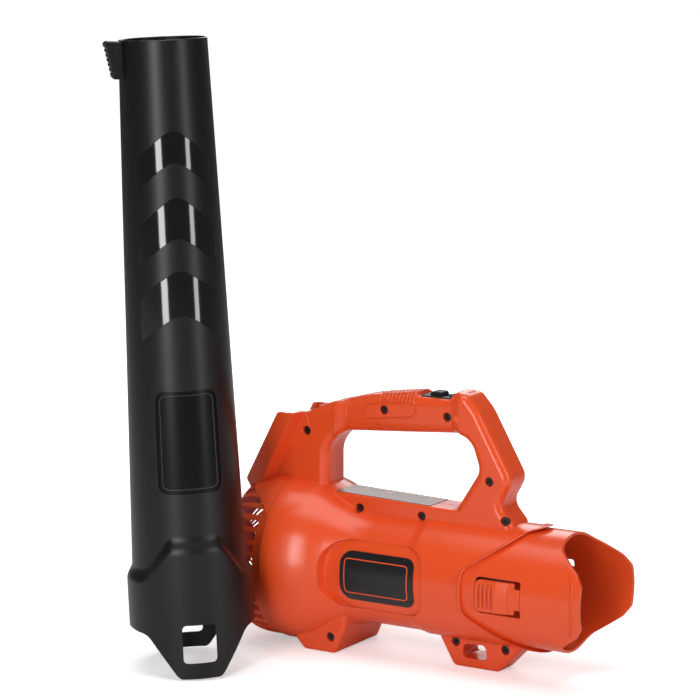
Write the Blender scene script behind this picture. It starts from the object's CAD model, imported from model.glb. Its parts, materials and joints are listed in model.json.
import json
import math
import bmesh
import bpy
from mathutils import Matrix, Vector
from mathutils.bvhtree import BVHTree


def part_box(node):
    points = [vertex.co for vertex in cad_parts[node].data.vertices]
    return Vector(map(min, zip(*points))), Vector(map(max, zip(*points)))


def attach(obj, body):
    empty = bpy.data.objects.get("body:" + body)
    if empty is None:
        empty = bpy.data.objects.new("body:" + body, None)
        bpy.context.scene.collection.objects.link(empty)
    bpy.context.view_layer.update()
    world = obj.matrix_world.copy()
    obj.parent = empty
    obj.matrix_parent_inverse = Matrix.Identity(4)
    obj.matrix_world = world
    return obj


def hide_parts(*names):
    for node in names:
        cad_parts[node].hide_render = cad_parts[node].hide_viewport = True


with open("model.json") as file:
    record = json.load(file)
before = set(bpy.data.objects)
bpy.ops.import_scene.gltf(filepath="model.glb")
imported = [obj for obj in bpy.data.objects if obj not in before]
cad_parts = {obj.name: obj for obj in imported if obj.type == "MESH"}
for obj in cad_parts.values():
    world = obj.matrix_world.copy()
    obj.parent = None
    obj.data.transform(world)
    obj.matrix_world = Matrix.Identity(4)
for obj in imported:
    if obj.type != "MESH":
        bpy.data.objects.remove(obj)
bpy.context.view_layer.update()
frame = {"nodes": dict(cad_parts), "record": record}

# %% [markdown]
# A leaf blower for one hand: an orange moulded body with a closed grip, and its long
# black blowing tube standing loose beside it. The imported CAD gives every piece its
# place and size. This lesson gives the pieces their finishes, builds the tube again
# with its soft collar and glossy panels, and adds the small moulded details.
# Lengths are written in millimetres and turned into metres by one factor.

# %% Units, names and a first look at the frame
MM = 0.001
record = frame["record"]
nodes = frame["nodes"]
AXIS_Z = 82.0  # height of the duct's axis


def cad_box(node):
    """The node's lowest and highest corner, in millimetres."""
    low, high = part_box(node)
    return [v / MM for v in low], [v / MM for v in high]


# %% [markdown]
# The camera stands a little above the tool, far away, with a long lens. A short lens
# close by would make the tall tube seem to lean outwards. Depth of field stays off,
# so the whole tool is sharp. The "Standard" view transform keeps the orange strong.

# %% Camera
CAMERA_LENS_MM = 139.7
CAMERA_PLACE = (1.1665, -2.1249, 0.6884)
CAMERA_TILT = math.radians(80.8)
CAMERA_TURN = math.radians(32.0)
camera_data = bpy.data.cameras.new("camera")
camera_data.sensor_width = 36.0
camera_data.lens = CAMERA_LENS_MM
camera_data.clip_end = 50.0
camera = bpy.data.objects.new("camera", camera_data)
camera.location = CAMERA_PLACE
camera.rotation_euler = (CAMERA_TILT, 0.0, CAMERA_TURN)
bpy.context.scene.collection.objects.link(camera)
bpy.context.scene.camera = camera
bpy.context.scene.view_settings.view_transform = "Standard"
print("camera lens", camera_data.lens)

# %% [markdown]
# The tool stands in a white studio. The background is white to the camera, but it
# lights the black plastic only a little, or the tube would look grey. A Light Path
# node tells the two apart: camera rays see one background, all others a dim one.

# %% White background
FILL_STRENGTH = 0.11


def node(tree, kind, **settings):
    """A new shader node with these settings."""
    made = tree.nodes.new(kind)
    for key, value in settings.items():
        setattr(made, key, value)
    return made


world = bpy.data.worlds.new("studio")
bpy.context.scene.world = world
world.use_nodes = True
sky = world.node_tree
sky.nodes.clear()
sky_out = node(sky, "ShaderNodeOutputWorld")
sky_mix = node(sky, "ShaderNodeMixShader")
sky_seen = node(sky, "ShaderNodeBackground")
sky_light = node(sky, "ShaderNodeBackground")
sky_path = node(sky, "ShaderNodeLightPath")
for background, strength in ((sky_seen, 1.0), (sky_light, FILL_STRENGTH)):
    background.inputs["Color"].default_value = (1, 1, 1, 1)
    background.inputs["Strength"].default_value = strength
sky.links.new(sky_path.outputs["Is Camera Ray"], sky_mix.inputs[0])
sky.links.new(sky_light.outputs[0], sky_mix.inputs[1])
sky.links.new(sky_seen.outputs[0], sky_mix.inputs[2])
sky.links.new(sky_mix.outputs[0], sky_out.inputs[0])
print("fill strength", FILL_STRENGTH)

# %% [markdown]
# Round plastic shows its shape by its reflections. Two tall soft boxes in front draw
# two long upright lines down every round surface. A broad box overhead lights the
# tops, and one behind keeps the far edges clear.

# %% Soft boxes
MIDDLE = (-0.15, -0.05, 0.2)
# place in metres, width and height in metres, power in watts
SOFT_BOXES = {
    "box_left": ((0.22, -2.42, 0.75), (0.6, 2.0), 33.0),
    "box_right": ((2.2, -0.42, 0.75), (0.45, 2.0), 17.0),
    "box_top": ((-0.1, -0.3, 2.3), (2.0, 1.4), 26.0),
    "box_back": ((-0.9, 1.9, 1.3), (1.6, 1.2), 20.0),
}
for name, (place, size, power) in SOFT_BOXES.items():
    box_data = bpy.data.lights.new(name, "AREA")
    box_data.shape = "RECTANGLE"
    box_data.size, box_data.size_y = size
    box_data.energy = power
    soft_box = bpy.data.objects.new(name, box_data)
    soft_box.location = place
    aim = Vector(MIDDLE) - Vector(place)
    soft_box.rotation_euler = aim.to_track_quat("-Z", "Y").to_euler()
    bpy.context.scene.collection.objects.link(soft_box)
print("soft boxes:", sorted(SOFT_BOXES))

# %% [markdown]
# The floor is pale and matt, so it takes a soft shadow. To the camera it also glows,
# more strongly with the distance from the tool, so it runs into the white background
# without a line. No other ray meets the glow, so it doesn't light the tool.

# %% Floor
FLOOR_SIZE = 24.0
# distance from the middle in metres, and the glow there
GLOW_NEAR = (0.3, 0.45)
GLOW_FAR = (1.3, 1.0)
bpy.ops.mesh.primitive_plane_add(size=FLOOR_SIZE, location=(0, 0, 0))
floor = bpy.context.object
floor.name = "floor"
floor_material = bpy.data.materials.new("floor_pale")
floor_material.use_nodes = True
floor_tree = floor_material.node_tree
floor_shader = floor_tree.nodes["Principled BSDF"]
floor_shader.inputs["Base Color"].default_value = (0.9, 0.9, 0.9, 1)
floor_shader.inputs["Roughness"].default_value = 0.85
floor_shader.inputs["Specular IOR Level"].default_value = 0.2
floor_shader.inputs["Emission Color"].default_value = (1, 1, 1, 1)
floor_place = node(floor_tree, "ShaderNodeTexCoord")
floor_away = node(floor_tree, "ShaderNodeVectorMath", operation="LENGTH")
floor_fade = node(floor_tree, "ShaderNodeMapRange")
for end, (distance, glow) in (("Min", GLOW_NEAR), ("Max", GLOW_FAR)):
    floor_fade.inputs["From " + end].default_value = distance
    floor_fade.inputs["To " + end].default_value = glow
floor_seen = node(floor_tree, "ShaderNodeLightPath")
floor_glow = node(floor_tree, "ShaderNodeMath", operation="MULTIPLY")
link = floor_tree.links.new
link(floor_place.outputs["Object"], floor_away.inputs[0])
link(floor_away.outputs["Value"], floor_fade.inputs["Value"])
link(floor_fade.outputs["Result"], floor_glow.inputs[0])
link(floor_seen.outputs["Is Camera Ray"], floor_glow.inputs[1])
link(floor_glow.outputs["Value"], floor_shader.inputs["Emission Strength"])
floor.data.materials.append(floor_material)
print("floor glow from", GLOW_NEAR, "to", GLOW_FAR)

# %% [markdown]
# The pieces share four surface effects, so each is one node group, built once.
# "mould_grain" is the fine spark-eroded grain a steel mould leaves. "handling_marks"
# is a mask of thin rubbed streaks and small smudges. "mask_to_value" turns a mask into
# a roughness between two ends, and "mask_to_colour" tints a colour where a mask is on.

# %% Node group helper


def new_group(name, inputs, outputs):
    """An empty shader group with named sockets, and its two end nodes."""
    group = bpy.data.node_groups.new(name, "ShaderNodeTree")
    for label, kind, value in inputs:
        socket = group.interface.new_socket(label, in_out="INPUT", socket_type=kind)
        if value is not None:
            socket.default_value = value
    for label, kind in outputs:
        group.interface.new_socket(label, in_out="OUTPUT", socket_type=kind)
    start = group.nodes.new("NodeGroupInput")
    end = group.nodes.new("NodeGroupOutput")
    return group, start, end


print("groups can be made")

# %% [markdown]
# The grain is one fine noise. Each material says how small it is, and its Bump node
# says how deep.

# %% Mould grain
grain_group, g_in, g_out = new_group(
    "mould_grain",
    [("Place", "NodeSocketVector", None), ("Size", "NodeSocketFloat", 1400.0)],
    [("Height", "NodeSocketFloat")],
)
g_noise = node(grain_group, "ShaderNodeTexNoise")
g_noise.inputs["Detail"].default_value = 2.0
grain_group.links.new(g_in.outputs["Place"], g_noise.inputs["Vector"])
grain_group.links.new(g_in.outputs["Size"], g_noise.inputs["Scale"])
grain_group.links.new(g_noise.outputs["Fac"], g_out.inputs["Height"])
print("group:", grain_group.name)

# %% [markdown]
# The rubbed marks are two noises multiplied: one stretched into streaks, one in soft
# clouds. Only where the product is above a level does a mark show, and the level drops
# as the density rises.

# %% Handling marks
MARK_LEVEL = 0.62
MARK_LEVEL_PER_DENSITY = 0.5
MARK_FADE = 0.12
marks_group, m_in, m_out = new_group(
    "handling_marks",
    [("Place", "NodeSocketVector", None), ("Density", "NodeSocketFloat", 0.5)],
    [("Mask", "NodeSocketFloat")],
)
m_stretch = node(marks_group, "ShaderNodeMapping")
m_stretch.inputs["Rotation"].default_value = (0.3, 0.5, 0.2)
m_stretch.inputs["Scale"].default_value = (9.0, 60.0, 24.0)
m_streak = node(marks_group, "ShaderNodeTexNoise")
m_streak.inputs["Scale"].default_value = 4.0
m_streak.inputs["Detail"].default_value = 5.0
m_cloud = node(marks_group, "ShaderNodeTexNoise")
m_cloud.inputs["Scale"].default_value = 14.0
m_cloud.inputs["Detail"].default_value = 3.0
m_both = node(marks_group, "ShaderNodeMath", operation="MULTIPLY")
m_less = node(marks_group, "ShaderNodeMath", operation="SUBTRACT")
m_less.inputs[0].default_value = MARK_LEVEL
m_step = node(marks_group, "ShaderNodeMapRange")
m_high = node(marks_group, "ShaderNodeMath", operation="ADD")
m_high.inputs[1].default_value = MARK_FADE
m_cut = node(marks_group, "ShaderNodeMath", operation="MULTIPLY")
m_cut.inputs[1].default_value = MARK_LEVEL_PER_DENSITY
link = marks_group.links.new
link(m_in.outputs["Place"], m_stretch.inputs["Vector"])
link(m_stretch.outputs["Vector"], m_streak.inputs["Vector"])
link(m_in.outputs["Place"], m_cloud.inputs["Vector"])
link(m_streak.outputs["Fac"], m_both.inputs[0])
link(m_cloud.outputs["Fac"], m_both.inputs[1])
link(m_in.outputs["Density"], m_cut.inputs[0])
link(m_cut.outputs[0], m_less.inputs[1])
link(m_less.outputs[0], m_step.inputs["From Min"])
link(m_less.outputs[0], m_high.inputs[0])
link(m_high.outputs[0], m_step.inputs["From Max"])
link(m_both.outputs[0], m_step.inputs["Value"])
link(m_step.outputs["Result"], m_out.inputs["Mask"])
print("group:", marks_group.name)

# %% [markdown]
# A mask is only a number from 0 to 1. The last two groups turn it into something that
# a shader can use: a roughness between two ends, or a colour between two others.

# %% Mask to value and mask to colour
value_group, v_in, v_out = new_group(
    "mask_to_value",
    [
        ("Mask", "NodeSocketFloat", 0.0),
        ("Low", "NodeSocketFloat", 0.3),
        ("High", "NodeSocketFloat", 0.5),
    ],
    [("Value", "NodeSocketFloat")],
)
v_map = node(value_group, "ShaderNodeMapRange")
value_group.links.new(v_in.outputs["Mask"], v_map.inputs["Value"])
value_group.links.new(v_in.outputs["Low"], v_map.inputs["To Min"])
value_group.links.new(v_in.outputs["High"], v_map.inputs["To Max"])
value_group.links.new(v_map.outputs["Result"], v_out.inputs["Value"])

colour_group, c_in, c_out = new_group(
    "mask_to_colour",
    [
        ("Mask", "NodeSocketFloat", 0.0),
        ("Plain", "NodeSocketColor", (0.5, 0.5, 0.5, 1)),
        ("Marked", "NodeSocketColor", (0.6, 0.6, 0.6, 1)),
    ],
    [("Color", "NodeSocketColor")],
)
c_mix = node(colour_group, "ShaderNodeMix", data_type="RGBA")
colour_group.links.new(c_in.outputs["Mask"], c_mix.inputs[0])
colour_group.links.new(c_in.outputs["Plain"], c_mix.inputs[6])
colour_group.links.new(c_in.outputs["Marked"], c_mix.inputs[7])
colour_group.links.new(c_mix.outputs[2], c_out.inputs["Color"])
print("node groups:", [g.name for g in bpy.data.node_groups])

# %% [markdown]
# One function makes every moulded or metal finish from a few numbers: the plain
# colour, the colour where it is rubbed, how rough each is, the grain, and how far the
# edges look rounded. The rounding is done in shading with a Bevel node, since a mould
# never leaves a knife edge and the mesh of a CAD piece isn't to be changed.

# %% The finish maker
GRAIN_STRENGTH = 0.35
EDGE_SAMPLES = 6
COAT_ROUGHNESS = 0.12


def use_group(tree, group, **values):
    """This group placed in a material, with its named values."""
    made = node(tree, "ShaderNodeGroup", node_tree=group)
    for key, value in values.items():
        made.inputs[key].default_value = value
    return made


def finish(name, plain, marked, rough, grain=(1400.0, 0.05), density=0.5, metal=0.0,
           edge=0.0, coat=0.0, specular=0.5):
    """A material. Colours are linear RGB, rough is (plain, marked), grain is (size, depth in mm)."""
    made = bpy.data.materials.new(name)
    made.use_nodes = True
    tree = made.node_tree
    shader = tree.nodes["Principled BSDF"]
    place = node(tree, "ShaderNodeTexCoord")
    marks = use_group(tree, marks_group, Density=density)
    tint = use_group(tree, colour_group, Plain=(*plain, 1), Marked=(*marked, 1))
    level = use_group(tree, value_group, Low=rough[0], High=rough[1])
    texture = use_group(tree, grain_group, Size=grain[0])
    bump = node(tree, "ShaderNodeBump")
    bump.inputs["Strength"].default_value = GRAIN_STRENGTH
    bump.inputs["Distance"].default_value = grain[1] * MM
    for user in (marks, texture):
        tree.links.new(place.outputs["Object"], user.inputs["Place"])
    tree.links.new(marks.outputs["Mask"], tint.inputs["Mask"])
    tree.links.new(marks.outputs["Mask"], level.inputs["Mask"])
    tree.links.new(tint.outputs["Color"], shader.inputs["Base Color"])
    tree.links.new(level.outputs["Value"], shader.inputs["Roughness"])
    tree.links.new(texture.outputs["Height"], bump.inputs["Height"])
    tree.links.new(bump.outputs["Normal"], shader.inputs["Normal"])
    if edge:
        round_edge = node(tree, "ShaderNodeBevel", samples=EDGE_SAMPLES)
        round_edge.inputs["Radius"].default_value = edge * MM
        tree.links.new(round_edge.outputs["Normal"], bump.inputs["Normal"])
    shader.inputs["Metallic"].default_value = metal
    shader.inputs["Coat Weight"].default_value = coat
    shader.inputs["Coat Roughness"].default_value = COAT_ROUGHNESS
    shader.inputs["Specular IOR Level"].default_value = specular
    return made


print("edges rounded with", EDGE_SAMPLES, "samples")

# %% [markdown]
# The body is a strong orange-red satin plastic. The intake guard is the same colour,
# a little rougher, and without the rounded edges that its thin ribs can't carry.

# %% Orange plastic
ORANGE = (0.8, 0.082, 0.017)
ORANGE_RUBBED = (0.82, 0.1, 0.028)
orange = finish("orange_plastic", ORANGE, ORANGE_RUBBED, (0.25, 0.34), (1500.0, 0.012), 0.45,
                edge=1.8)
orange_grille = finish("orange_grille", ORANGE, ORANGE_RUBBED, (0.34, 0.44), (1500.0, 0.02), 0.45)
print("orange", ORANGE)

# %% [markdown]
# The tube is satin black with polished arrow panels, which a clear coat makes glossy.
# Its badge is darker and duller than they are, with a thin grey line.

# %% Black plastics
inner_black = finish("inner_black", (0.018, 0.018, 0.019), (0.035, 0.035, 0.036), (0.55, 0.7),
                     density=0.4, edge=0.4)
tube_black = finish("tube_black", (0.0045, 0.0045, 0.0048), (0.006, 0.006, 0.0062), (0.36, 0.44),
                    (1700.0, 0.03), edge=0.5, specular=0.38)
panel_black = finish("panel_black", (0.003, 0.003, 0.0034), (0.004, 0.004, 0.004), (0.07, 0.12),
                     (300.0, 0.003), coat=0.8)
tube_badge_black = finish("tube_badge_black", (0.0035, 0.0035, 0.0038), (0.005, 0.005, 0.005),
                          (0.26, 0.32), (900.0, 0.01), specular=0.16)
badge_line_grey = finish("badge_line_grey", (0.02, 0.02, 0.022), (0.028, 0.028, 0.03), (0.4, 0.5),
                         (900.0, 0.01))
badge_black = finish("badge_black", (0.009, 0.009, 0.01), (0.014, 0.014, 0.014), (0.3, 0.4),
                     (900.0, 0.01))
soft_rubber = finish("soft_rubber", (0.015, 0.015, 0.015), (0.03, 0.03, 0.03), (0.75, 0.85))
print("black finishes ready")

# %% [markdown]
# Inside are the motor's grey metals, brass tongues, two wires and the fan.

# %% Metals, wires and fan
screw_steel = finish("screw_steel", (0.05, 0.045, 0.045), (0.12, 0.11, 0.1), (0.35, 0.5),
                     metal=0.8, edge=0.2)
zinc_steel = finish("zinc_steel", (0.45, 0.46, 0.48), (0.36, 0.36, 0.37), (0.3, 0.45), metal=1.0,
                    edge=0.3)
magnet_grey = finish("magnet_grey", (0.05, 0.05, 0.055), (0.08, 0.08, 0.085), (0.6, 0.75))
bright_steel = finish("bright_steel", (0.62, 0.63, 0.65), (0.5, 0.5, 0.51), (0.18, 0.3), metal=1.0,
                      edge=0.2)
brass = finish("brass", (0.72, 0.48, 0.18), (0.5, 0.33, 0.14), (0.22, 0.38), metal=1.0, edge=0.15)
wire_red = finish("wire_red", (0.5, 0.012, 0.012), (0.4, 0.02, 0.02), (0.45, 0.6))
wire_black = finish("wire_black", (0.015, 0.015, 0.015), (0.03, 0.03, 0.03), (0.5, 0.6))
fan_grey = finish("fan_grey", (0.045, 0.045, 0.05), (0.07, 0.07, 0.075), (0.45, 0.6), edge=0.4)
print("finishes:", len(bpy.data.materials))

# %% [markdown]
# The rating label is a thin film with rows of small print. The print is only rows of
# dashes from a brick texture, with a band of orange blocks where the warning pictures
# would be, so nothing can be read. The two textures take the places of the plain and
# the rubbed colour, and the band takes the place of the mask.

# %% Label finish
LABEL_GROUND = (0.2, 0.15, 0.12)
LABEL_GAPS = (0.13, 0.1, 0.085, 1)
BAND_FROM_Y = 0.004  # metres from the tool's middle plane
label = finish("label_film", LABEL_GROUND, (0.25, 0.2, 0.16), (0.35, 0.45), (400.0, 0.01))
label_tree = label.node_tree
link = label_tree.links.new
label_place = node(label_tree, "ShaderNodeTexCoord")
label_flat = node(label_tree, "ShaderNodeMapping")
label_flat.inputs["Scale"].default_value = (1.0, 1.0, 0.0)
link(label_place.outputs["Object"], label_flat.inputs["Vector"])


def print_rows(inks, gap, wide, high, **settings):
    """Rows of small blocks in two inks; gap, width and height in metres."""
    made = node(label_tree, "ShaderNodeTexBrick", **settings)
    for key, value in (("Color1", inks[0]), ("Color2", inks[1]), ("Mortar", LABEL_GAPS), ("Scale", 1.0),
                       ("Mortar Size", gap), ("Brick Width", wide), ("Row Height", high)):
        made.inputs[key].default_value = value
    link(label_flat.outputs["Vector"], made.inputs["Vector"])
    return made


label_dashes = print_rows(((0.42, 0.17, 0.08, 1), (0.09, 0.07, 0.06, 1)), 0.0006, 0.0052, 0.0021,
                          offset=0.37, squash=0.7, squash_frequency=3)
label_blocks = print_rows(((0.6, 0.14, 0.04, 1), (0.05, 0.04, 0.04, 1)), 0.0012, 0.009, 0.0105,
                          offset=0.0)
label_split = node(label_tree, "ShaderNodeSeparateXYZ")
label_band = node(label_tree, "ShaderNodeMath", operation="GREATER_THAN")
label_band.inputs[1].default_value = BAND_FROM_Y
label_tint = label_tree.nodes["Principled BSDF"].inputs["Base Color"].links[0].from_node
link(label_place.outputs["Object"], label_split.inputs[0])
link(label_split.outputs["Y"], label_band.inputs[0])
link(label_band.outputs[0], label_tint.inputs["Mask"])
link(label_dashes.outputs["Color"], label_tint.inputs["Plain"])
link(label_blocks.outputs["Color"], label_tint.inputs["Marked"])
print("label finish ready")

# %% [markdown]
# The CAD pieces keep their shapes and take their finishes in their own material
# slots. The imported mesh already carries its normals, so no shading flag is set.

# %% Finishes on the CAD pieces
FINISHED_NODES = (
    (orange, ("right_housing", "left_housing", "nozzle", "latch_right", "latch_left")),
    (orange_grille, ("intake_grille",)),
    (inner_black, ("motor_mount", "motor_end_cap", "tail_cone", "terminal_block", "switch_plate",
                   "switch_body")),
    (tube_black, ("switch_knob", "air_tube")),
    (badge_black, ("badge_right", "badge_left")),
    (soft_rubber, ("rubber_rings",)),
    (label, ("rating_label",)),
    (screw_steel, ("housing_screws",)),
    (zinc_steel, ("motor_can", "motor_rotor")),
    (magnet_grey, ("motor_magnets",)),
    (bright_steel, ("rear_bearing", "front_bearing", "motor_shaft", "fan_nut")),
    (brass, ("terminals",)),
    (wire_red, ("battery_wire", "motor_wire_live")),
    (wire_black, ("motor_wire_return",)),
    (fan_grey, ("impeller",)),
)
bare = set(nodes)
for material, names in FINISHED_NODES:
    for name in names:
        nodes[name].data.materials.clear()
        nodes[name].data.materials.append(material)
        bare.discard(name)
print("finished CAD pieces:", len(nodes) - len(bare), "left bare:", sorted(bare))

# %% [markdown]
# New pieces are made as skins: rows of points joined by square faces, closed into a
# solid. A curved plate is such a solid with an outer and an inner skin, both bent
# around the same axis, so it follows the round surface it sits on.

# %% One piece from points and faces
SHARP_ANGLE = math.radians(38)
WELD_DISTANCE = 1e-7


def add_piece(name, points, faces, material, body, smooth=True):
    """A mesh piece from points in metres, with its finish, body and record slot."""
    mesh = bpy.data.meshes.new(name)
    mesh.from_pydata([tuple(p) for p in points], [], faces)
    work = bmesh.new()
    work.from_mesh(mesh)
    bmesh.ops.remove_doubles(work, verts=work.verts, dist=WELD_DISTANCE)
    bmesh.ops.recalc_face_normals(work, faces=work.faces)
    work.to_mesh(mesh)
    work.free()
    if smooth:
        mesh.polygons.foreach_set("use_smooth", [True] * len(mesh.polygons))
        mesh.set_sharp_from_angle(angle=SHARP_ANGLE)
    mesh.materials.append(material)
    piece = bpy.data.objects.new(name, mesh)
    bpy.context.scene.collection.objects.link(piece)
    if body:
        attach(piece, body)
    return piece


print("creases above", round(math.degrees(SHARP_ANGLE)), "degrees stay sharp")

# %% [markdown]
# Two helpers make the skins: one joins rows of points by square faces, and one bends
# a pair of such skins round a surface and closes the rim between them.

# %% Skins and curved plates


def strip_faces(rows, columns, first=0, wrap_rows=False, wrap_columns=False):
    """Square faces between rows of points, optionally closed round in either direction."""
    faces = []
    for i in range(rows if wrap_rows else rows - 1):
        for j in range(columns if wrap_columns else columns - 1):
            a = first + i * columns + j
            b = first + i * columns + (j + 1) % columns
            c = first + (i + 1) % rows * columns + (j + 1) % columns
            d = first + (i + 1) % rows * columns + j
            faces.append((a, b, c, d))
    return faces


def plate(name, rows, place, outer, inner, material, body):
    """A curved plate: rows of pairs, bent by place(first, second, height), between two heights."""
    count, width = len(rows), len(rows[0])
    points = [place(u, v, outer) for row in rows for u, v in row]
    points += [place(u, v, inner) for row in rows for u, v in row]
    faces = strip_faces(count, width) + strip_faces(count, width, count * width)
    rim = list(range(width))
    rim += [i * width + width - 1 for i in range(1, count)]
    rim += [(count - 1) * width + j for j in range(width - 2, -1, -1)]
    rim += [i * width for i in range(count - 2, 0, -1)]
    shift = count * width
    for k, a in enumerate(rim):
        b = rim[(k + 1) % len(rim)]
        faces.append((a, b, b + shift, a + shift))
    return add_piece(name, points, faces, material, body)


print("skins and plates ready")

# %% [markdown]
# Badges, windows and the long outline on the grip are all rectangles with rounded
# corners. They are needed filled, as an outline, and as a thin raised line.

# %% Rounded rectangles


def rounded_rows(half_wide, half_high, radius, rows=24, columns=24):
    """Rows that fill a rectangle with rounded corners, centred on zero."""
    made = []
    for i in range(rows + 1):
        v = -half_high * math.cos(math.pi * i / rows)
        over = max(0.0, abs(v) - (half_high - radius))
        w = half_wide - radius + math.sqrt(max(0.0, radius ** 2 - over ** 2))
        made.append([(w * (2 * j / columns - 1), v) for j in range(columns + 1)])
    return made


def rounded_outline(half_wide, half_high, radius, steps=8, straight=16):
    """A closed outline of points of a rectangle with rounded corners."""
    made = []
    for quarter, (sx, sy) in enumerate(((1, 1), (-1, 1), (-1, -1), (1, -1))):
        cx, cy = sx * (half_wide - radius), sy * (half_high - radius)
        for k in range(steps + 1):
            turn = math.pi / 2 * (quarter + k / steps)
            made.append((cx + radius * math.cos(turn), cy + radius * math.sin(turn)))
    dense = []
    for k, (x, y) in enumerate(made):
        nx, ny = made[(k + 1) % len(made)]
        parts = straight if math.hypot(nx - x, ny - y) > radius else 1
        dense += [(x + (nx - x) * t / parts, y + (ny - y) * t / parts) for t in range(parts)]
    return dense


def frame_line(name, half_wide, half_high, radius, width, place, bottom, top, material, body,
               slot_name):
    """A raised thin line along a rounded rectangle, bent by place."""
    loops = []
    for share, height in ((0.0, bottom), (0.25, top), (0.75, top), (1.0, bottom)):
        inset = share * width
        loops.append([place(u, v, height) for u, v in
                      rounded_outline(half_wide - inset, half_high - inset, max(0.5, radius - inset))])
    points = [p for loop in loops for p in loop]
    faces = strip_faces(len(loops), len(loops[0]), 0, True, True)
    return add_piece(name, points, faces, material, body)


print("rounded rectangles ready")

# %% [markdown]
# The blowing tube stands upright beside the tool, leaning a little. Its axis is read
# from the record: the collar's bore points down the tube. A point on the tube is
# given by its angle from the front, its height along the axis, and its radius.

# %% Tube frame
COLLAR_MOUNT_H = 66.0  # height of the mount above the tip of the tongues
TUBE_FACE = math.radians(42.0)  # turn of the tube's front from -Y towards +X
TUBE_LENGTH = 575.0
TUBE_WALL = 2.3
COLLAR_R = 57.7
COLLAR_BORE_R = 55.35
CONE_FOOT_H = 94.0
CONE_FOOT_R = 52.6
CONE_TOP_R = 39.8
collar_mount = [m for m in record["mounts"] if m["name"] == "tube_collar_bore"][0]
tube_up = -Vector(collar_mount["axis"])
tube_foot = Vector(collar_mount["pos_m"]) - tube_up * COLLAR_MOUNT_H * MM
tube_right = Vector((math.cos(TUBE_FACE), math.sin(TUBE_FACE), 0.0))
tube_right = (tube_right - tube_up * tube_right.dot(tube_up)).normalized()
tube_front = tube_right.cross(tube_up).normalized()


def cone_radius(h):
    """Outside radius of the plain tapered tube at height h."""
    return CONE_FOOT_R + (CONE_TOP_R - CONE_FOOT_R) * (h - CONE_FOOT_H) / (TUBE_LENGTH - CONE_FOOT_H)


def tube_point(turn, h, radius):
    """A point in metres, turn radians from the front, at height h and this radius, in mm."""
    out = tube_front * math.cos(turn) + tube_right * math.sin(turn)
    return tube_foot + (tube_up * h + out * radius) * MM


print("tube axis", [round(v, 4) for v in tube_up], "front", [round(v, 3) for v in tube_front])

# %% [markdown]
# At its foot the tube widens into a collar that slides over the nozzle. Front and
# back it runs down into a tongue with a square window for the latch. The outline of
# tongue and collar is a bent line with softened corners, so the height of the lower
# edge, and of the slope above the collar, depend only on the distance from the middle.

# %% Soft outlines of tongue and collar
SOFTEN_SAMPLES = 13
# corners as (distance from the middle, height)
LOWER_EDGE = [(0.0, 0.0), (20.0, 0.0), (45.5, 39.0), (58.0, 40.5)]
SLOPE_EDGE = [(0.0, 116.0), (25.0, 116.0), (46.0, 86.0), (58.0, 84.0)]
LOWER_SOFTEN = 3.2
SLOPE_SOFTEN = 4.0


def bent_line(x, corners, soften):
    """The height of a line through corners at x, averaged over soften mm each side."""
    total = 0.0
    for k in range(SOFTEN_SAMPLES):
        at = abs(abs(x) + soften * (2.0 * k / (SOFTEN_SAMPLES - 1) - 1.0))
        height = corners[-1][1]
        for (x0, h0), (x1, h1) in zip(corners, corners[1:]):
            if x0 <= at <= x1:
                height = h0 + (h1 - h0) * (at - x0) / (x1 - x0)
                break
        total += height
    return total / SOFTEN_SAMPLES


def ease(t):
    """0 to 1 with soft ends."""
    t = min(1.0, max(0.0, t))
    return t * t * (3.0 - 2.0 * t)


print("tongue tip and side heights", [round(bent_line(x, LOWER_EDGE, LOWER_SOFTEN), 1) for x in (0, 57)])

# %% [markdown]
# Two functions give the wall's outside and inside radius at any turn and height. Both
# pass from collar to cone with an eased step, the inside one a little later and
# shorter, so the wall stays whole under the slope.

# %% Radii of the wall
SLOPE_RISE = 14.0
BORE_STEP_LATER = 2.0
BORE_STEP_RISE = 8.0


def outer_radius(turn, h):
    """Outside of collar, slope and cone."""
    start = bent_line(COLLAR_R * math.sin(turn), SLOPE_EDGE, SLOPE_SOFTEN)
    cone = cone_radius(h)
    return cone + (COLLAR_R - cone) * ease(1.0 - (h - start) / SLOPE_RISE)


def inner_radius(turn, h):
    """The bore, stepping in to the cone's inside above the collar."""
    start = bent_line(COLLAR_R * math.sin(turn), SLOPE_EDGE, SLOPE_SOFTEN) + BORE_STEP_LATER
    cone = cone_radius(h) - TUBE_WALL
    return cone + (COLLAR_BORE_R - cone) * ease(1.0 - (h - start) / BORE_STEP_RISE)


print("wall at mid height", round(outer_radius(0, 300) - inner_radius(0, 300), 2), "mm")

# %% [markdown]
# The wall is one skin that runs up the outside, over the rim, and down the inside.
# Close rows follow the tongues and the slope, wider ones the plain cone. At both ends
# the last row is a little short, which leaves a small rounded lip.

# %% Tube wall
AROUND = 360
LOW_ROWS = 64
HIGH_ROWS = 70
LOW_TOP = 136.0
LIP = 0.7
LIP_SHARES = (0.3, 0.7)
turns = [2 * math.pi * j / AROUND for j in range(AROUND)]
edges = [bent_line(COLLAR_R * math.sin(t), LOWER_EDGE, LOWER_SOFTEN) for t in turns]


def wall_rows(skin):
    """Rows of points up one skin of the tube, stopping LIP short of its ends."""
    rows = []
    for i in range(LOW_ROWS + HIGH_ROWS + 1):
        row = []
        for j, turn in enumerate(turns):
            low = edges[j] + LIP
            if i <= LOW_ROWS:
                h = low + (LOW_TOP - low) * i / LOW_ROWS
            else:
                h = LOW_TOP + (TUBE_LENGTH - LIP - LOW_TOP) * (i - LOW_ROWS) / HIGH_ROWS
            row.append(tube_point(turn, h, skin(turn, h)))
        rows.append(row)
    return rows


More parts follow.
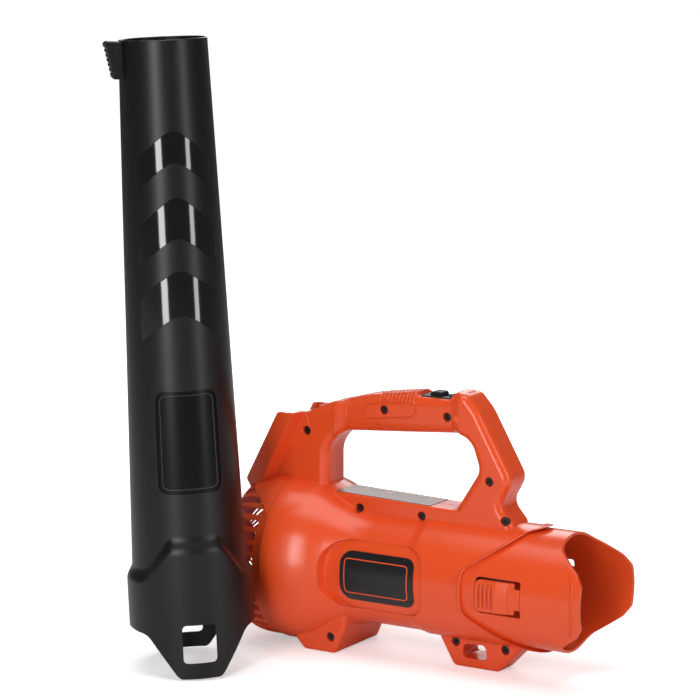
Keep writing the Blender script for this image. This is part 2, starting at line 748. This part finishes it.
def edge_row(end, share):
    """A row on the very end of the wall, share of the way from the outer to the inner skin."""
    row = []
    for j, turn in enumerate(turns):
        h = edges[j] if end == "low" else TUBE_LENGTH
        a, b = outer_radius(turn, h), inner_radius(turn, h)
        row.append(tube_point(turn, h, a + (b - a) * share))
    return row


tube_rows = [edge_row("low", LIP_SHARES[0])] + wall_rows(outer_radius)
tube_rows += [edge_row("top", share) for share in LIP_SHARES]
tube_rows += wall_rows(inner_radius)[::-1] + [edge_row("low", LIP_SHARES[1])]
tube_faces = strip_faces(len(tube_rows), AROUND, 0, True, True)
tube = add_piece("blowing_tube", [p for row in tube_rows for p in row], tube_faces, tube_black, None)
print("tube wall faces", len(tube.data.polygons))

# %% [markdown]
# Three arrow-shaped panels sit flush in shallow beds on the front, and again on the
# back, polished where the rest is satin. The panels are separate plates with a hair
# of air round them, so a thin dark line shows. Each bed is first made as a cutter, and
# all cutters are taken out of the wall later in one go.

# %% Arrow panels and their cutters
# lower and upper edge at the middle, lower and upper edge at the ends, half angle in degrees
ARROWS = [
    (466.6, 494.7, 441.9, 469.0, 49.0),
    (399.3, 435.8, 373.5, 407.0, 50.5),
    (330.6, 370.2, 306.5, 346.0, 50.5),
]
ARROW_STEPS = 48
ARROW_POINT_SOFT = 0.05
PANEL_MEAN_R = 48.0  # turns the gap in mm into an angle
BED_DEPTH = 0.9
PANEL_SINK = 0.25
PANEL_GAP = 0.3
PANEL_OFF_BED = 0.05
CUT_ABOVE = 3.0
FACINGS = {"front": 0.0, "back": math.pi}


def arrow_rows(low_mid, high_mid, low_end, high_end, half_turn, shrink, rows=6):
    """Rows of (turn, height) that fill an arrow with a rounded point."""
    made = []
    for i in range(rows + 1):
        row = []
        for j in range(ARROW_STEPS + 1):
            side = 2 * j / ARROW_STEPS - 1
            reach = half_turn - shrink / PANEL_MEAN_R
            fall = math.sqrt(side * side + ARROW_POINT_SOFT) - math.sqrt(ARROW_POINT_SOFT)
            fall /= math.sqrt(1.0 + ARROW_POINT_SOFT) - math.sqrt(ARROW_POINT_SOFT)
            low = low_mid + (low_end - low_mid) * fall + shrink
            high = high_mid + (high_end - high_mid) * fall - shrink
            row.append((side * reach, low + (high - low) * i / rows))
        made.append(row)
    return made


def on_tube(facing):
    """Bends (turn, height) onto the cone, standing height mm above its skin."""
    return lambda turn, h, rise: tube_point(turn + facing, h, cone_radius(h) + rise)


cutters = []
for side_name, facing in FACINGS.items():
    for number, (*heights, half) in enumerate(ARROWS, 1):
        shape = (*heights, math.radians(half))
        cutters.append(plate("cut", arrow_rows(*shape, 0.0), on_tube(facing), CUT_ABOVE, -BED_DEPTH,
                             tube_black, None))
        plate(f"arrow_panel_{side_name}_{number}", arrow_rows(*shape, PANEL_GAP), on_tube(facing),
              -PANEL_SINK, PANEL_OFF_BED - BED_DEPTH, panel_black, "air_tube")
print("arrow panels:", len(cutters))

# %% [markdown]
# Below the arrows, on the front only, a dark badge plate lies in a deeper bed of its
# own, with a thin raised frame. Its lettering is left out.

# %% Tube badge
BADGE_H = 216.2
BADGE_HALF_HIGH = 46.6
BADGE_HALF_WIDE = 30.0
BADGE_CORNER = 9.0
BADGE_BED = 1.5
BADGE_SINK = 1.0
BADGE_FRAME_INSET = 3.4
BADGE_FRAME_CORNER = 6.5
BADGE_FRAME_WIDE = 1.1
badge_r = cone_radius(BADGE_H)


def on_badge(across, along, rise):
    """Bends (across, along) in mm onto the tube round the badge's middle."""
    h = BADGE_H + along
    return tube_point(across / badge_r, h, cone_radius(h) + rise)


cutters.append(plate("cut", rounded_rows(BADGE_HALF_WIDE, BADGE_HALF_HIGH, BADGE_CORNER), on_badge,
                     CUT_ABOVE, -BADGE_BED, tube_black, None))
badge_rows = rounded_rows(BADGE_HALF_WIDE - PANEL_GAP, BADGE_HALF_HIGH - PANEL_GAP, BADGE_CORNER - PANEL_GAP)
plate("tube_badge", badge_rows, on_badge, -BADGE_SINK, PANEL_OFF_BED - BADGE_BED, tube_badge_black,
      "air_tube")
frame_line("tube_badge_frame", BADGE_HALF_WIDE - BADGE_FRAME_INSET, BADGE_HALF_HIGH - BADGE_FRAME_INSET,
           BADGE_FRAME_CORNER, BADGE_FRAME_WIDE, on_badge, -BADGE_SINK - 0.1, -BADGE_SINK + 0.3,
           badge_line_grey, "air_tube", "tube_black")
print("badge height", 2 * BADGE_HALF_HIGH, "width", 2 * BADGE_HALF_WIDE)

# %% [markdown]
# Each tongue has a square window that the latch snaps into. Its walls are straight,
# square to the tube's front, so its cutters are flat prisms through the wall.

# %% Latch window cutters
WINDOW_HALF_WIDE = 15.4
WINDOW_LOW = 14.3
WINDOW_HIGH = 50.1
WINDOW_CORNER = 4.0
WINDOW_CUT_FROM = 64.0
WINDOW_CUT_TO = 40.0


def on_window(facing):
    """A flat prism through the wall, square to the front."""
    def place(across, along, rise):
        h = (WINDOW_LOW + WINDOW_HIGH) / 2 + along
        way = tube_front if facing == 0.0 else -tube_front
        return tube_foot + (tube_up * h + tube_right * across + way * rise) * MM
    return place


window_rows = rounded_rows(WINDOW_HALF_WIDE, (WINDOW_HIGH - WINDOW_LOW) / 2, WINDOW_CORNER, 16, 6)
for facing in FACINGS.values():
    cutters.append(plate("cut", window_rows, on_window(facing), WINDOW_CUT_FROM, WINDOW_CUT_TO, tube_black,
                         None))
print("cutters:", len(cutters))

# %% [markdown]
# All cutters are joined into one mesh and taken out with a single exact Boolean, which
# is quicker and safer than one Boolean after another. The finished tube then takes the
# place of the CAD's plain one and rides on the same body.

# %% Beds and windows cut


def cut_all(target, tools):
    """Joins the tools into one and takes them out of the target."""
    whole = bmesh.new()
    for tool in tools:
        whole.from_mesh(tool.data)
        bpy.data.objects.remove(tool)
    tool_mesh = bpy.data.meshes.new("cut_all")
    whole.to_mesh(tool_mesh)
    whole.free()
    cutter = bpy.data.objects.new("cut_all", tool_mesh)
    bpy.context.scene.collection.objects.link(cutter)
    change = target.modifiers.new("cut", "BOOLEAN")
    change.operation = "DIFFERENCE"
    change.solver = "EXACT"
    change.object = cutter
    view = bpy.context.evaluated_depsgraph_get()
    done = bpy.data.meshes.new_from_object(target.evaluated_get(view))
    target.modifiers.clear()
    target.data = done
    bpy.data.objects.remove(cutter)
    done.set_sharp_from_angle(angle=SHARP_ANGLE)


cut_all(tube, cutters)
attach(tube, "air_tube")
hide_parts("air_tube")
print("tube after cuts", len(tube.data.polygons))

# %% [markdown]
# At the mouth of the tube a small scraper stands out to one side, for loosening wet
# leaves. It is a wedge with a ribbed face: its side outline, with one tooth for each
# rib, is drawn once and stretched to both sides. A small bevel softens its edges.

# %% Scraper
SCRAPER_HALF = 15.0
SCRAPER_FOOT_H = 541.0
SCRAPER_SLOPE = 0.19
SCRAPER_SOFT = 0.45
TEETH = 6
TOOTH_FIRST_H = 543.0
TOOTH_PITCH = 4.3
scraper_line = [(-37.5, SCRAPER_FOOT_H), (-46.3, SCRAPER_FOOT_H)]
for k in range(TEETH):
    tooth_h = TOOTH_FIRST_H + k * TOOTH_PITCH
    out = -46.8 - (tooth_h - SCRAPER_FOOT_H) * SCRAPER_SLOPE
    scraper_line += [(out, tooth_h), (out - 0.5, tooth_h + 2.6), (out + 0.7, tooth_h + 3.2)]
scraper_line += [(-52.4, 569.4), (-53.0, 572.4), (-50.5, 574.4), (-37.5, 573.6)]


def on_scraper(depth):
    """The outline's points at this depth in front of the tube's middle, in metres."""
    return [tube_foot + (tube_up * h + tube_right * x + tube_front * depth) * MM for x, h in scraper_line]


scraper_rows = [on_scraper(d) for d in (-SCRAPER_HALF, SCRAPER_HALF)]
scraper_points = [p for row in scraper_rows for p in row]
scraper_count = len(scraper_line)
scraper_faces = strip_faces(2, scraper_count, 0, False, True)
scraper_faces += [tuple(range(scraper_count)), tuple(range(2 * scraper_count - 1, scraper_count - 1, -1))]
scraper = add_piece("tube_scraper", scraper_points, scraper_faces, tube_black, "air_tube",
                    smooth=False)
scraper_edge = scraper.modifiers.new("soft", "BEVEL")
scraper_edge.width = SCRAPER_SOFT * MM
scraper_edge.segments = 2
scraper_edge.limit_method = "ANGLE"
print("scraper teeth", TEETH)

# %% [markdown]
# Each side of the body has a black badge plate in a shallow pocket. A thin orange line
# runs round it, just inside its edge. The plate is bent around the duct's axis, so the
# line is bent around the same axis, at the plate's own radius.

# %% Side badge frames
SIDES = (("right", -1.0), ("left", 1.0))
SIDE_BADGE_X = -99.75
SIDE_LINE_HALF = (34.3, 17.0)
SIDE_LINE_CORNER = 4.5
SIDE_LINE_WIDE = 1.5
SIDE_LINE_BOTTOM = -0.15
SIDE_LINE_TOP = 0.22
for side_name, sign in SIDES:
    low, high = cad_box("badge_" + side_name)
    plate_r = -low[1] if sign < 0 else high[1]

    def on_body(across, along, rise, sign=sign, plate_r=plate_r):
        """Bends (along the axis, round the axis) in mm onto the badge."""
        turn = along / plate_r
        r = plate_r + rise
        return Vector((SIDE_BADGE_X + across, sign * r * math.cos(turn), AXIS_Z + r * math.sin(turn))) * MM

    frame_line("badge_line_" + side_name, *SIDE_LINE_HALF, SIDE_LINE_CORNER, SIDE_LINE_WIDE, on_body,
               SIDE_LINE_BOTTOM, SIDE_LINE_TOP, orange_grille, "housing", "housing_orange")
    print("badge", side_name, "radius", round(plate_r, 2), "x", round(low[0], 1), round(high[0], 1))

# %% [markdown]
# Between the bell and the battery mount the moulding runs on as a shoulder over the
# top of the intake guard. It is a curved plate round the duct's axis. Its lower edge
# climbs as it goes back, so the guard's slots come out from under it along a slant.

# %% Shoulders over the intake guard
# lower edge as (x, degrees above level)
SHOULDER_EDGE = [(-211.0, 31.0), (-216.0, 38.5), (-221.0, 43.5), (-231.0, 50.5), (-241.0, 58.0),
                 (-247.0, 66.0)]
SHOULDER_TOP_ANGLE = 86.0
SHOULDER_OUT_R = 80.45
SHOULDER_IN_R = 76.2
SHOULDER_STEPS = 24
DROOP_FROM_X = -225.0
DROOP_SLOPE = 0.1


def edge_angle(x):
    """The angle above level, in degrees, where the shoulder's lower edge is at x."""
    for (x0, a0), (x1, a1) in zip(SHOULDER_EDGE, SHOULDER_EDGE[1:]):
        if x >= x1:
            return a0 + (a1 - a0) * (x - x0) / (x1 - x0)
    return SHOULDER_EDGE[-1][1]


for side_name, sign in SIDES:
    def on_guard(x, angle, r, sign=sign):
        """A point at x, this angle above level and this radius round the duct's axis."""
        droop = max(0.0, DROOP_FROM_X - x) * DROOP_SLOPE
        turn = math.radians(angle)
        return Vector((x, sign * (r - droop) * math.cos(turn), AXIS_Z + (r - droop) * math.sin(turn))) * MM

    shoulder_rows = []
    for i in range(SHOULDER_STEPS + 1):
        x = SHOULDER_EDGE[0][0] + (SHOULDER_EDGE[-1][0] - SHOULDER_EDGE[0][0]) * i / SHOULDER_STEPS
        start = edge_angle(x)
        shoulder_rows.append([(x, start + (SHOULDER_TOP_ANGLE - start) * j / SHOULDER_STEPS)
                              for j in range(SHOULDER_STEPS + 1)])
    plate("shoulder_" + side_name, shoulder_rows, on_guard, SHOULDER_OUT_R, SHOULDER_IN_R, orange,
          "housing")
print("shoulders from x", SHOULDER_EDGE[0][0], "to", SHOULDER_EDGE[-1][0])

# %% [markdown]
# The small raised lines on the body lie on the moulded surface wherever it curves, so
# they are laid by casting a ray at the CAD shell for each point of the line. A ridge
# is then built there: a low arch across the line, standing on the surface. The same
# helper makes the ribs over the grip, the long rounded outline round a screw, and the
# fine parting lines.

# %% Ridges laid on the shell
shell = bmesh.new()
for name in ("right_housing", "left_housing", "nozzle"):
    shell.from_mesh(nodes[name].data)
shell_tree = BVHTree.FromBMesh(shell)
shell_faces = len(shell.faces)
shell.free()
ARCH = 7
RIDGE_SINK = 0.12


def ridge(name, rays, half_wide, rise, closed=False):
    """A low arch along the points where the rays, (start, direction) in mm, meet the shell."""
    hits = []
    for start, way in rays:
        spot, normal, _, _ = shell_tree.ray_cast(Vector(start) * MM, Vector(way).normalized())
        if spot is None:
            continue
        if normal.dot(Vector(way)) > 0:
            normal = -normal
        hits.append((spot / MM, normal))
    count = len(hits)
    rows = []
    for k, (spot, normal) in enumerate(hits):
        if closed:
            before, after = hits[k - 1][0], hits[(k + 1) % count][0]
        else:
            before, after = hits[max(0, k - 1)][0], hits[min(count - 1, k + 1)][0]
        along = (after - before).normalized()
        fade = 1.0 if closed else min(1.0, 0.15 + min(k, count - 1 - k) / 2.0)
        reach = normal.cross(along).normalized() * half_wide * fade
        row = [(spot + reach - normal * RIDGE_SINK) * MM]
        for a in range(ARCH + 1):
            turn = math.pi * a / ARCH
            row.append((spot + reach * math.cos(turn) + normal * rise * fade * math.sin(turn)) * MM)
        row.append((spot - reach - normal * RIDGE_SINK) * MM)
        rows.append(row)
    width = ARCH + 3
    points = [p for row in rows for p in row]
    faces = strip_faces(count, width, 0, closed, True)
    if not closed:
        faces += [tuple(range(width)), tuple(range(count * width - 1, (count - 1) * width - 1, -1))]
    return add_piece(name, points, faces, orange, "housing")


print("shell faces under the rays:", shell_faces)

# %% [markdown]
# Ten soft ribs cross the top of the grip, where the palm holds it. Each is a ridge laid
# over the top by rays that come in from a half circle above the grip.

# %% Ribs over the grip
GRIP_MIDDLE_Z = 231.0
RAY_FROM = 60.0
RIB_PITCH = 4.1
RIB_COUNT = 10
RIB_FIRST_X = -119.5
RIB_HALF_ANGLE = 62
RIB_STEPS = 40


def rays_round_grip(x, first, span, steps, sign=1.0):
    """Rays towards the grip's middle at x, over span degrees from first, measured from the top."""
    rays = []
    for step in range(steps + 1):
        turn = math.radians(first + span * step / steps)
        way = Vector((0.0, sign * math.sin(turn), math.cos(turn)))
        rays.append((Vector((x, 0, GRIP_MIDDLE_Z)) + way * RAY_FROM, -way))
    return rays


for k in range(RIB_COUNT):
    rib_x = RIB_FIRST_X + RIB_PITCH * k
    rib_rays = rays_round_grip(rib_x, -RIB_HALF_ANGLE, 2 * RIB_HALF_ANGLE, RIB_STEPS)
    ridge(f"grip_rib_{k + 1}", rib_rays, 1.45, 0.55)
print("ribs", RIB_COUNT)

# %% [markdown]
# Below the ribs, on each side of the grip, a long rounded outline runs round the
# screw, parallel to the grip's top, and two fine lines run from it round the underside.

# %% Grip outline and lines
OUTLINE_MIDDLE = (-107.0, 233.2)
OUTLINE_HALF = (28.0, 6.9)
OUTLINE_CORNER = 6.6
GRIP_SLOPE = 0.13
LINE_XS = (-120.5, -90.5)
LINE_FIRST_ANGLE = 112
LINE_SPAN = 40
for side_name, sign in SIDES:
    rays = []
    for u, v in rounded_outline(*OUTLINE_HALF, OUTLINE_CORNER, 10, 30):
        spot = (OUTLINE_MIDDLE[0] + u, sign * RAY_FROM, OUTLINE_MIDDLE[1] + v + GRIP_SLOPE * u)
        rays.append((spot, (0.0, -sign, 0.0)))
    ridge("grip_outline_" + side_name, rays, 0.75, 0.3, closed=True)
    for k, line_x in enumerate(LINE_XS, 1):
        line_rays = rays_round_grip(line_x, LINE_FIRST_ANGLE, LINE_SPAN, 20, sign)
        ridge(f"grip_line_{side_name}_{k}", line_rays, 0.35, 0.15)
print("grip outline, points:", len(rays))

# %% [markdown]
# The two tongues of the nozzle end in a lead-in that guides the tube on. Its inner
# border is a soft line a few millimetres behind the edge, which catches the light.

# %% Nozzle lead-in lines
# upper half as (x, height above the axis)
LEAD_LINE = [(95.5, 29.5), (99.0, 23.5), (101.0, 17.0), (101.6, 8.0), (101.8, 0.0)]
LEAD_STEPS = 5
LEAD_RAY_FROM = 90.0
lead_path = LEAD_LINE + [(x, -h) for x, h in LEAD_LINE[-2::-1]]
for side_name, sign in SIDES:
    rays = []
    for (x0, h0), (x1, h1) in zip(lead_path, lead_path[1:]):
        for step in range(LEAD_STEPS):
            t = step / LEAD_STEPS
            start = (x0 + (x1 - x0) * t, sign * LEAD_RAY_FROM, AXIS_Z + h0 + (h1 - h0) * t)
            rays.append((start, (0.0, -sign, 0.0)))
    ridge("nozzle_lead_" + side_name, rays, 1.3, 0.35)
print("lead-in line, points:", len(rays))

# %% [markdown]
# Where the rounder grip meets the broader posts, the moulding flows from one section to
# the other. A thin sleeve does this at each end. Its section is measured on the shell
# just past both ends by casting rays, and in between every point runs along a smooth
# curve that keeps the slope it has at each end, so no step shows.

# %% Sections of the shell
SLEEVE_AROUND = 120
SECTION_RAY_FROM = 55.0


def section_radii(x, middle_z):
    """The shell's distance from (x, 0, middle_z), measured all round, in mm."""
    found = []
    for k in range(SLEEVE_AROUND):
        turn = 2 * math.pi * k / SLEEVE_AROUND
        way = Vector((0.0, math.sin(turn), math.cos(turn)))
        start = Vector((x, 0.0, middle_z)) + way * SECTION_RAY_FROM
        spot, _, _, _ = shell_tree.ray_cast(start * MM, -way)
        found.append((spot / MM - Vector((x, 0.0, middle_z))).length if spot else found[-1])
    return found


print("grip height at its middle", round(section_radii(-100.0, GRIP_MIDDLE_Z)[0], 1), "mm above the axis")

# %% [markdown]
# A sleeve has an outer skin a hair above the shell and an inner one below it, so only
# the flowing outside shows. The slope at each end is held to a limit, because a ray
# that slips past an edge would give a wild one.

# %% Sleeves at the ends of the grip
SLEEVE_ALONG = 14
SLEEVE_SLOPE_STEP = 2.0
SLEEVE_SLOPE_MOST = 1.2
SLEEVE_THICK = 0.7
SLEEVE_LIFT = 0.04


def held_slope(near, far):
    """The slope between two radii one step apart, within the limit."""
    return max(-SLEEVE_SLOPE_MOST, min(SLEEVE_SLOPE_MOST, (far - near) / SLEEVE_SLOPE_STEP))


def sleeve(name, post_x, grip_x, middle_z):
    """A sleeve from the post's section to the grip's."""
    step = SLEEVE_SLOPE_STEP if post_x > grip_x else -SLEEVE_SLOPE_STEP
    span = abs(post_x - grip_x)
    post, post_on = section_radii(post_x, middle_z), section_radii(post_x + step, middle_z)
    grip, grip_on = section_radii(grip_x, middle_z), section_radii(grip_x - step, middle_z)
    skins = []
    for inset in (-SLEEVE_LIFT, SLEEVE_THICK):
        rows = []
        for i in range(SLEEVE_ALONG + 1):
            t = i / SLEEVE_ALONG
            row = []
            for k in range(SLEEVE_AROUND):
                slope_a = held_slope(post_on[k], post[k]) * span
                slope_b = held_slope(grip[k], grip_on[k]) * span
                r = (post[k] * (2 * t ** 3 - 3 * t ** 2 + 1) + slope_a * (t ** 3 - 2 * t ** 2 + t)
                     + grip[k] * (3 * t ** 2 - 2 * t ** 3) + slope_b * (t ** 3 - t ** 2)) - inset
                turn = 2 * math.pi * k / SLEEVE_AROUND
                x = post_x + (grip_x - post_x) * t
                row.append(Vector((x, r * math.sin(turn), middle_z + r * math.cos(turn))) * MM)
            rows.append(row)
        skins.append(rows)
    rows = skins[0] + skins[1][::-1]
    points = [p for row in rows for p in row]
    faces = strip_faces(len(rows), SLEEVE_AROUND, 0, True, True)
    return add_piece(name, points, faces, orange, "housing")


# post end, grip end and middle height of each sleeve
SLEEVES = {"grip_sleeve_rear": (-169.0, -154.0, 222.0), "grip_sleeve_front": (-33.0, -41.4, 236.0)}
for name, ends in SLEEVES.items():
    sleeve(name, *ends)
print("sleeves:", sorted(SLEEVES))
